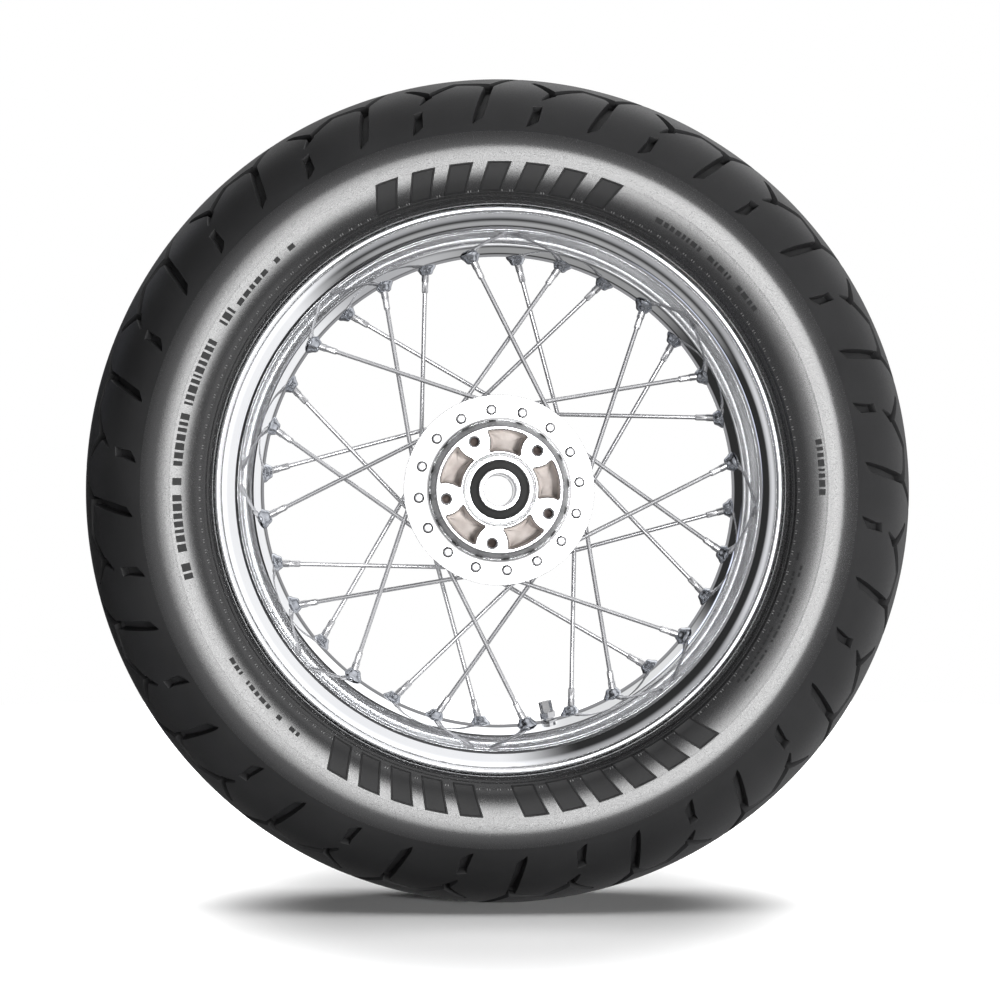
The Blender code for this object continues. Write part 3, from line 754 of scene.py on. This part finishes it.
# The domed head and the nipple, as (distance along, radius, squareness), with lengths in mm
HEAD = (
    (-2.60, 0.05, 0), (-2.58, 1.60, 0), (-2.50, 2.70, 0), (-2.30, 3.25, 0), (-1.80, 3.85, 0),
    (-1.20, 4.10, 0), (-0.50, 4.15, 0), (-0.10, 3.90, 0), (0.0, WIRE, 0),
)
NIPPLE = (
    (-20.4, WIRE, 0), (-20.3, 2.20, 0), (-19.6, 2.25, 0), (-19.3, 2.70, 1), (-12.6, 2.70, 1),
    (-12.0, 2.65, 0.2), (-11.4, 2.55, 0), (-11.2, 2.85, 0), (-10.9, 2.90, 0), (-4.6, 2.90, 0),
    (-3.6, 3.30, 0), (2.6, 3.30, 0), (3.2, 4.10, 0), (4.8, 4.20, 0), (5.6, 3.40, 0), (5.9, 0.05, 0),
)


def section(radius, square):
    """Points of a round section, or of one with four flats, as (x, y)."""
    angle = (np.arange(SPOKE_SIDES) + 0.5) * 2 * math.pi / SPOKE_SIDES
    flats = np.maximum(abs(np.cos(angle)), abs(np.sin(angle)))
    reach = radius * ((1 - square) + square * np.minimum(0.90 / flats, 1.08))
    return np.stack([reach * np.cos(angle), reach * np.sin(angle)], axis=1)


def spoke_line(row):
    """A row's spoke at nipple angle 0: its elbow's corner, its place in the rim and its direction."""
    side, lean, rim_height, depth = row
    across, up = HEAD_CIRCLE * math.cos(lean), HEAD_CIRCLE * math.sin(lean)
    corner = Vector((across, up, side * (FLANGE_BOTTOM - depth)))
    at_rim = Vector((WELL_MIDDLE, 0, side * rim_height))
    return corner, at_rim, (at_rim - corner).normalized()


def spoke_mesh(row, name):
    """One row's spoke at nipple angle 0: head, elbow, wire and nipple, swept along its bent line."""
    side = row[0]
    corner, at_rim, along = spoke_line(row)
    inward = Vector((0, 0, -side))
    turn = inward.angle(along)
    reach = ELBOW_RADIUS * math.tan(turn / 2)
    steady = inward.cross(along).normalized()
    under_head = Vector((corner.x, corner.y, side * (FLANGE_TOP + 0.1 * MM)))
    stops = []
    for s, radius, square in HEAD:
        stops.append((under_head + inward * (s * MM), inward, radius, square))
    centre = corner - inward * reach + steady.cross(inward) * ELBOW_RADIUS
    for share in np.linspace(0, 1, BEND_STEPS):
        bent = Matrix.Rotation(turn * share, 3, steady)
        ahead = bent @ inward
        stops.append((centre - steady.cross(ahead) * ELBOW_RADIUS, ahead, WIRE, 0))
    for s, radius, square in NIPPLE:
        stops.append((at_rim + along * (s * MM), along, radius, square))
    rings = []
    for place, ahead, radius, square in stops:
        across = steady.cross(ahead)
        ring = section(radius * MM, square)
        local = np.array(place) + ring[:, :1] * np.array(across) + ring[:, 1:] * np.array(steady)
        rings.append(np.stack([local[:, 0], -local[:, 2], local[:, 1]], axis=1))
    points = np.concatenate(rings)
    faces = grid_faces(len(rings), SPOKE_SIDES, False, True)
    mesh = mesh_of(name, points, faces)
    face_outwards(mesh)
    smooth(mesh, 35)
    # Plating first, then the painted shade for the head's steep skirt, which on_head_skirt picks out.
    mesh.materials.append(ZINC)
    mesh.materials.append(HEAD_OUTLINE_SHADE)
    for polygon in mesh.polygons:
        polygon.material_index = int(on_head_skirt(polygon.center, corner, side))
    return mesh


def on_head_skirt(centre, corner, side):
    """Whether a face of the spoke at nipple angle 0 lies on the steep edge of its head."""
    above_flange = -side * centre.y - FLANGE_TOP
    beside = math.hypot(centre.x - corner.x, centre.z - corner.y)
    at_head = centre.x < WELL_MIDDLE / 2 and abs(above_flange - 2.3 * MM) < 2.6 * MM
    return at_head and beside > 3.1 * MM


def add_spokes():
    meshes = [spoke_mesh(row, f"spoke_row_{i + 1}") for i, row in enumerate(ROWS)]
    for i in range(SPOKE_COUNT):
        made = object_of(f"laced_spoke_{i + 1:02d}", meshes[i % len(ROWS)], None)
        made.rotation_euler = (0, -(FIRST_NIPPLE + i * SPOKE_PITCH), 0)
        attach(made, WHEEL)
        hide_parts(f"spoke_{i + 1:02d}")


# ---- hub --------------------------------------------------------------------------------------

HUB_STEPS = 256
BOLT_CIRCLE = 0.0825 / 2
BOLT_COUNT = 5
BOLT_ANGLE = math.radians(45.9)
BOLT_HOLE = 0.0034
BOLT_CHAMFER = 0.0048
BOLT_DEPTH = 0.0200
POCKET_INNER = 0.0298
POCKET_OUTER = 0.0458
POCKET_DEPTH = 0.0120
# The pocket's flank, as (radius, degrees from its middle, rounding)
POCKET_FLANK = (
    (POCKET_INNER, 23.5, 0.0026), (0.0335, 20.0, 0.0020), (0.0385, 18.2, 0.0024), (0.0420, 18.6, 0.0016),
    (POCKET_OUTER, 20.0, 0.0030),
)


def hub_profile():
    bore = BEARING_RADIUS + 0.2 * MM
    seat = BEARING_FACE - BEARING_WIDTH
    half = [
        (bore, seat, 0),
        (bore, BOSS_FACE - 1.8 * MM, 0.2 * MM),
        (bore + 1.1 * MM, BOSS_FACE - 1.6 * MM, 0.1 * MM),
        (bore + 2.0 * MM, BOSS_FACE, 0.2 * MM),
        (0.0487, BOSS_FACE, 0.9 * MM),
        (0.0500, 0.0600, 4.0 * MM),
        (0.0535, FLANGE_TOP, 3.0 * MM),
        (HUB_RADIUS, FLANGE_TOP, 0.5 * MM),
        (HUB_RADIUS, FLANGE_BOTTOM, 0.5 * MM),
        (0.0460, FLANGE_BOTTOM, 4.0 * MM),
        (0.0400, 0.0220, 6.0 * MM),
    ]
    inside = [(0.0220, seat, 0), (0.0220, 0.0420, 1.0 * MM), (0.0330, 0.0380, 2.0 * MM)]
    flip = [(r, -h, back) for r, h, back in reversed(half)]
    far_inside = [(r, -h, back) for r, h, back in inside]
    return rounded(half + flip + far_inside + inside[::-1], arc_points=5)


def add_prism(work, outline, levels, turn):
    """A closed loft over the outline of (radius, angle) at each (height, outward step) level."""
    rings = []
    flat_outline = [(r * math.cos(a), r * math.sin(a)) for r, a in outline]
    for height, out in levels:
        ring = []
        for x, y in offset_outline(flat_outline, out):
            angle = math.atan2(y, x) + turn
            ring.append(work.verts.new(around(math.hypot(x, y), angle, height)))
        rings.append(ring)
    for top, bottom in zip(rings, rings[1:]):
        for i in range(len(top)):
            j = (i + 1) % len(top)
            work.faces.new((top[i], top[j], bottom[j], bottom[i]))
    work.faces.new(rings[0])
    middle = sum((v.co for v in rings[-1]), Vector()) / len(rings[-1])
    centre = work.verts.new(middle)
    for i in range(len(rings[-1])):
        work.faces.new((rings[-1][i], rings[-1][(i + 1) % len(rings[-1])], centre))


def pocket_outline():
    """The pocket centred on angle 0, as (radius, angle) with rounded corners."""
    flank = [(r, math.radians(a), back) for r, a, back in POCKET_FLANK]
    outer = [(POCKET_OUTER, flank[-1][1] * s, 0) for s in np.linspace(0.66, -0.66, 5)]
    inner = [(POCKET_INNER, flank[0][1] * s, 0) for s in np.linspace(-0.6, 0.6, 4)]
    corners = flank + outer + [(r, -a, back) for r, a, back in reversed(flank)] + inner
    plane = [(r * math.cos(a), r * math.sin(a), back) for r, a, back in corners]
    return [(math.hypot(x, y), math.atan2(y, x)) for x, y in rounded(plane, arc_points=6)]


def circle_outline(radius, sides):
    """A circle about a point on the bolt circle, as (radius, angle) about the axle."""
    made = []
    for i in range(sides):
        a = i * 2 * math.pi / sides
        x, y = BOLT_CIRCLE + radius * math.cos(a), radius * math.sin(a)
        made.append((math.hypot(x, y), math.atan2(y, x)))
    return made


def hub_cutters():
    """The pockets and bolt holes of both bosses, as one mesh."""
    work = bmesh.new()
    pocket = pocket_outline()
    bolt = circle_outline(BOLT_HOLE, 28)
    for side, _ in SIDES:
        for i in range(BOLT_COUNT):
            turn = BOLT_ANGLE + i * 2 * math.pi / BOLT_COUNT
            pocket_levels = (
                (side * (BOSS_FACE + 1.0 * MM), 1.9 * MM),
                (side * (BOSS_FACE - 0.9 * MM), 0.0),
                (side * (BOSS_FACE - POCKET_DEPTH + 1.2 * MM), -0.9 * MM),
                (side * (BOSS_FACE - POCKET_DEPTH), -2.0 * MM),
            )
            add_prism(work, pocket, pocket_levels, turn + math.pi / BOLT_COUNT)
            mouth = BOLT_CHAMFER - BOLT_HOLE
            bolt_levels = (
                (side * (BOSS_FACE + 1.0 * MM), mouth + 1.0 * MM),
                (side * (BOSS_FACE - mouth), 0.0),
                (side * (BOSS_FACE - BOLT_DEPTH), 0.0),
            )
            add_prism(work, bolt, bolt_levels, turn)
    return cutter_object("hub_cutters", work)


# The third surface is the painted shade in the bolt holes' bores.
HUB_SURFACES = (POLISHED, CAST, BOLT_BORE_SHADE, TURNED)
ON_POLISH, IN_POCKET, IN_SHADED_BORE, ON_TURNED_EDGE = range(len(HUB_SURFACES))


def add_hub():
    blank = object_of("hub_blank", turned_mesh("hub_blank", hub_profile(), HUB_STEPS), POLISHED)
    mesh = carved(blank, hub_cutters())
    bpy.data.objects.remove(blank)
    mesh.materials.clear()
    for surface in HUB_SURFACES:
        mesh.materials.append(surface)
    for polygon in mesh.polygons:
        polygon.material_index = hub_surface(polygon.center, polygon.normal)
    smooth(mesh, 30)
    part("hub_polished", mesh, None, WHEEL, "hub_shell")


def hub_surface(centre, normal):
    """Which of HUB_SURFACES a face has, as its place in that list."""
    height = abs(centre.y)
    radius = math.hypot(centre.x, centre.z)
    on_face = abs(normal.y) > 0.95 and height > BOSS_FACE - 2 * MM
    if on_face or height < FLANGE_TOP:
        return ON_POLISH
    if radius < BEARING_RADIUS + 2.4 * MM:
        return ON_TURNED_EDGE if height > BOSS_FACE - 1.5 * MM else ON_POLISH
    if radius > 0.0478:
        return ON_TURNED_EDGE if height > FLANGE_TOP + 2 * MM else ON_POLISH
    angle = (math.atan2(centre.z, centre.x) - BOLT_ANGLE) % (2 * math.pi / BOLT_COUNT)
    beside = min(angle, 2 * math.pi / BOLT_COUNT - angle) * radius
    near_bolt = math.hypot(beside, radius - BOLT_CIRCLE) < BOLT_CHAMFER + 0.1 * MM
    if not near_bolt:
        return IN_POCKET if height < BOSS_FACE - 0.9 * MM else ON_TURNED_EDGE
    # Below its chamfer a bolt hole's bore takes the painted shade.
    return ON_TURNED_EDGE if height > BOSS_FACE - 1.3 * MM else IN_SHADED_BORE


# ---- bearings, spacer and hidden nodes --------------------------------------------------------

RACE_STEPS = 128
OUTER_RACE_BORE = 0.0228
INNER_RACE_RADIUS = 0.0157
AXLE_BORE = 0.0125
OUTER_GROOVE = 0.0238
INNER_GROOVE = 0.0148
RACE_LAND = 4.5 * MM
SPACER_BORE = 0.0127
SPACER_RADIUS = 0.0158


def add_bearing(side, name):
    def turned_piece(piece, corners, surface, body, node):
        profile = rounded([(r, side * h, back) for r, h, back in corners], arc_points=4)
        part(piece, turned_mesh(piece, profile, RACE_STEPS), surface, body, node)

    face, back = BEARING_FACE, BEARING_FACE - BEARING_WIDTH
    small = 0.4 * MM
    outer = [
        (OUTER_RACE_BORE, face, small), (BEARING_RADIUS, face, 1.0 * MM),
        (BEARING_RADIUS, back, 1.0 * MM), (OUTER_RACE_BORE, back, small),
        (OUTER_RACE_BORE, back + RACE_LAND, 0.5 * MM), (OUTER_GROOVE, back + 7.5 * MM, 2 * MM),
        (OUTER_RACE_BORE, face - RACE_LAND, 0.5 * MM),
    ]
    inner = [
        (AXLE_BORE, face, 0.8 * MM), (INNER_RACE_RADIUS, face, small),
        (INNER_RACE_RADIUS, face - RACE_LAND, 0.5 * MM), (INNER_GROOVE, face - 7.5 * MM, 2 * MM),
        (INNER_RACE_RADIUS, back + RACE_LAND, 0.5 * MM), (INNER_RACE_RADIUS, back, small),
        (AXLE_BORE, back, 0.8 * MM),
    ]
    lip = INNER_RACE_RADIUS + 0.15 * MM
    rim = OUTER_RACE_BORE - 0.15 * MM
    seal = [
        (lip, face - 0.7 * MM, 0.2 * MM), (lip + 0.8 * MM, face - 0.45 * MM, 0.3 * MM),
        (lip + 1.6 * MM, face - 0.9 * MM, 0.4 * MM), (rim - 1.7 * MM, face - 0.9 * MM, 0.4 * MM),
        (rim - 0.9 * MM, face - 0.4 * MM, 0.3 * MM), (rim, face - 0.6 * MM, 0.2 * MM),
        (rim, face - 1.5 * MM, 0), (lip, face - 1.5 * MM, 0),
    ]
    turned_piece(f"outer_race_{name}", outer, RACE, WHEEL, f"bearing_outer_race_{name}")
    turned_piece(f"inner_race_{name}", inner, RACE, AXLE, f"bearing_inner_race_{name}")
    turned_piece(f"seal_{name}", seal, SEAL, WHEEL, f"bearing_seal_{name}")


def add_spacer():
    edge = 0.4 * MM
    corners = [
        (SPACER_BORE, SPACER_HALF, edge), (SPACER_RADIUS, SPACER_HALF, edge),
        (SPACER_RADIUS, -SPACER_HALF, edge), (SPACER_BORE, -SPACER_HALF, edge),
    ]
    mesh = turned_mesh("spacer_tube", rounded(corners, arc_points=4), RACE_STEPS)
    part("spacer_tube", mesh, RACE, AXLE, "axle_spacer")


def dress_hidden_nodes():
    """Procedural surfaces for the CAD nodes that are kept as they are: the valve and what is inside."""
    ply = rubber("ply", (0.04, 0.032, 0.025), (0.07, 0.056, 0.045), 0.7)
    wire = metal("bead_wire", (0.40, 0.33, 0.22), (0.55, 0.46, 0.33), 0.3, 0.5)
    tube = rubber("tube_rubber", (0.02, 0.02, 0.02), (0.04, 0.04, 0.04), 0.55)
    band = rubber("band_rubber", (0.08, 0.07, 0.06), (0.12, 0.11, 0.10), 0.7)
    plated = metal("valve_plating", (0.66, 0.66, 0.66), (0.80, 0.80, 0.80), 0.12, 0.25)
    looks = {
        "tyre_belt": ply, "tyre_casing": ply, "inner_tube": tube, "rim_band": band,
        "valve_stem": plated, "valve_nut": ZINC, "valve_cap": plated,
    }
    for _, name in SIDES:
        looks[f"bead_core_{name}"] = wire
        looks[f"bearing_ball_cage_{name}"] = RACE
    for name, surface in looks.items():
        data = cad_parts[name].data
        data.materials.clear()
        data.materials.append(surface)


# ---- studio -----------------------------------------------------------------------------------

CAMERA_DISTANCE = 1.84
CAMERA_AZIMUTH = math.radians(-1.0)
CAMERA_ELEVATION = math.radians(-0.5)
CAMERA_LENS = 84.04
CAMERA_SHIFT = (0.0017, -0.0096)
# How far the ends of an arc of light fade, in degrees each way
ARC_FADE = 9


def add_camera():
    data = bpy.data.cameras.new("camera")
    data.lens = CAMERA_LENS
    data.sensor_width = 36
    data.shift_x, data.shift_y = CAMERA_SHIFT
    data.clip_end = 60
    camera = bpy.data.objects.new("camera", data)
    a, e = CAMERA_AZIMUTH, CAMERA_ELEVATION
    back = Vector((math.sin(a) * math.cos(e), -math.cos(a) * math.cos(e), math.sin(e)))
    camera.location = back * CAMERA_DISTANCE
    camera.rotation_euler = back.to_track_quat("Z", "Y").to_euler()
    bpy.context.scene.collection.objects.link(camera)
    bpy.context.scene.camera = camera


class Sky:
    """The studio round the wheel, as a world shader: soft rings and arcs on a dim surround.

    Their directions are fixed in the world. Off-axis angles run from 0 behind the wheel, along its
    axle, to 180 degrees on the camera's side.
    """

    def __init__(self, name):
        self.world = bpy.data.worlds.new(name)
        self.world.use_nodes = True
        self.tree = self.world.node_tree
        direction = self.tree.nodes.new("ShaderNodeTexCoord").outputs["Generated"]
        split = self.tree.nodes.new("ShaderNodeSeparateXYZ")
        self.tree.links.new(direction, split.inputs[0])
        x, y, z = split.outputs
        front = self.math("MULTIPLY", y, -1)
        self.across = (x, z)
        self.off_axis = self.math("ARCCOSINE", front)
        self.total = None

    def math(self, operation, *values):
        node = self.tree.nodes.new("ShaderNodeMath")
        node.operation = operation
        for socket, value in zip(node.inputs, values):
            if isinstance(value, (int, float)):
                socket.default_value = value
            else:
                self.tree.links.new(value, socket)
        return node.outputs[0]

    def step(self, value, low, high):
        """0 below low and 1 above high, in degrees, or the other way round if low is over high."""
        node = self.tree.nodes.new("ShaderNodeMapRange")
        node.interpolation_type = "SMOOTHSTEP"
        rising = low < high
        node.inputs["From Min"].default_value = math.radians(min(low, high))
        node.inputs["From Max"].default_value = math.radians(max(low, high))
        node.inputs["To Min"].default_value = 0 if rising else 1
        node.inputs["To Max"].default_value = 1 if rising else 0
        self.tree.links.new(value, node.inputs["Value"])
        return node.outputs["Result"]

    def between(self, value, low, high, soft):
        up = self.step(value, low - soft, low + soft)
        down = self.step(value, high + soft, high - soft)
        return self.math("MULTIPLY", up, down)

    def add(self, mask, colour):
        node = self.tree.nodes.new("ShaderNodeVectorMath")
        node.operation = "MULTIPLY_ADD"
        self.tree.links.new(mask, node.inputs[0])
        node.inputs[1].default_value = colour
        if self.total is None:
            node.inputs[2].default_value = (0, 0, 0)
        else:
            self.tree.links.new(self.total, node.inputs[2])
        self.total = node.outputs[0]

    def away_from(self, degrees):
        """How far a direction lies round the wheel's axle from this angle, 0 to 180 degrees."""
        x, z = self.across
        turn = math.radians(degrees)
        part_x = self.math("MULTIPLY", x, math.cos(turn))
        part_z = self.math("MULTIPLY", z, math.sin(turn))
        along = self.math("ADD", part_x, part_z)
        return self.math("ARCCOSINE", self.math("DIVIDE", along, self.math("SINE", self.off_axis)))

    def arc(self, middle, half_span, off_axis, soft, colour):
        """A soft-edged piece of a ring round the wheel's axle, in degrees."""
        beside = self.step(self.away_from(middle), half_span + ARC_FADE, half_span - ARC_FADE)
        self.add(self.math("MULTIPLY", beside, self.between(self.off_axis, *off_axis, soft)), colour)

    def finish(self):
        """White where the camera sees past the wheel, and the studio in every reflection."""
        background = self.tree.nodes["Background"]
        self.tree.links.new(self.total, background.inputs["Color"])
        white = self.tree.nodes.new("ShaderNodeBackground")
        white.inputs["Color"].default_value = (1, 1, 1, 1)
        seen = self.tree.nodes.new("ShaderNodeLightPath").outputs["Is Camera Ray"]
        mix = self.tree.nodes.new("ShaderNodeMixShader")
        self.tree.links.new(seen, mix.inputs[0])
        self.tree.links.new(background.outputs[0], mix.inputs[1])
        self.tree.links.new(white.outputs[0], mix.inputs[2])
        self.tree.links.new(mix.outputs[0], self.tree.nodes["World Output"].inputs["Surface"])
        self.world.cycles_visibility.diffuse = False
        bpy.context.scene.world = self.world


def add_softbox(name, place, size, radiance, in_reflections=True):
    """A panel of even radiance that faces the wheel's middle. It is either mirrored or gives light."""
    data = bpy.data.lights.new(name, "AREA")
    data.shape = "RECTANGLE"
    data.size, data.size_y = size
    data.energy = radiance * math.pi * size[0] * size[1]
    lamp = bpy.data.objects.new(name, data)
    lamp.location = place
    lamp.rotation_euler = Vector(place).to_track_quat("Z", "Y").to_euler()
    lamp.visible_glossy = in_reflections
    lamp.visible_diffuse = not in_reflections
    bpy.context.scene.collection.objects.link(lamp)


def add_studio():
    sky = Sky("studio")
    sky.add(sky.step(sky.off_axis, 181, 180), (0.03, 0.03, 0.03))
    sky.add(sky.step(sky.off_axis, 60, 46), (0.42, 0.42, 0.43))
    sky.add(sky.step(sky.off_axis, 30, 18), (0.75, 0.75, 0.76))
    sky.add(sky.step(sky.off_axis, 152, 158), (0.27, 0.27, 0.28))
    sky.add(sky.step(sky.off_axis, 175, 177), (1.0, 1.0, 1.0))
    sky.arc(25, 72, (42, 148), 6, (0.95, 0.95, 0.96))
    sky.arc(92, 52, (116, 150), 6, (0.80, 0.80, 0.80))
    sky.arc(-62, 14, (88, 150), 6, (0.45, 0.45, 0.46))
    sky.arc(-105, 32, (126, 146), 4, (0.30, 0.30, 0.30))
    sky.arc(-100, 24, (106, 112), 2, (0.24, 0.24, 0.24))
    sky.arc(175, 46, (112, 117), 2, (0.36, 0.36, 0.38))
    sky.arc(178, 30, (46, 58), 3, (0.35, 0.35, 0.36))
    sky.arc(-100, 46, (62, 76), 4, (0.38, 0.38, 0.38))
    sky.arc(-150, 26, (80, 84), 1, (1.0, 1.05, 1.3))
    sky.arc(150, 18, (122, 127), 1, (1.1, 1.15, 1.4))
    sky.finish()
    add_softbox("front", (0.17, -2.05, 0.05), (0.50, 0.66), 15.0)
    add_softbox("key", (1.05, -2.0, -0.05), (0.40, 0.40), 110.0, in_reflections=False)
    add_softbox("overhead", (0.0, 0.35, 2.3), (3.0, 3.2), 4.2, in_reflections=False)
    bpy.context.scene.view_settings.view_transform = "Standard"


FLOOR_RADIUS = 2.0
FLOOR_STEPS = 96
# The floor begins to glow at the first distance from its middle and is white from the second. Along
# Y both are longer, by one over the squeeze.
FLOOR_GLOW = (0.345, 0.440)
FLOOR_SQUEEZE = 0.62


def add_floor():
    """A pale disc under the wheel, which melts into the white round it."""
    nodes = Nodes("studio_floor")
    nodes.set(Base_Color=(0.82, 0.82, 0.82, 1), Roughness=0.9, Specular_IOR_Level=0.0)
    nodes.set(Emission_Color=(1, 1, 1, 1))
    squeezed = nodes.add("ShaderNodeMapping")
    squeezed.inputs["Scale"].default_value = (1.0, FLOOR_SQUEEZE, 1.0)
    nodes.link(nodes.place, squeezed.inputs["Vector"])
    distance = nodes.add("ShaderNodeVectorMath", operation="LENGTH")
    nodes.link(squeezed.outputs["Vector"], distance.inputs[0])
    glow = nodes.add("ShaderNodeMapRange", interpolation_type="SMOOTHSTEP")
    glow.inputs["From Min"].default_value = FLOOR_GLOW[0]
    glow.inputs["From Max"].default_value = FLOOR_GLOW[1]
    nodes.link(distance.outputs["Value"], glow.inputs["Value"])
    nodes.link(glow.outputs["Result"], nodes.shader.inputs["Emission Strength"])
    angle = np.arange(FLOOR_STEPS) * 2 * math.pi / FLOOR_STEPS
    height = np.full(FLOOR_STEPS, -TYRE_RADIUS - 0.2 * MM)
    points = np.stack([FLOOR_RADIUS * np.cos(angle), FLOOR_RADIUS * np.sin(angle), height], axis=1)
    faces = np.arange(FLOOR_STEPS)[None, :]
    floor = object_of("floor", mesh_of("floor", points, faces), nodes.material)
    floor.visible_glossy = False


def main():
    add_tyre()
    add_rim()
    add_spokes()
    add_hub()
    for side, name in SIDES:
        add_bearing(side, name)
    add_spacer()
    dress_hidden_nodes()
    add_camera()
    add_floor()
    add_studio()


main()
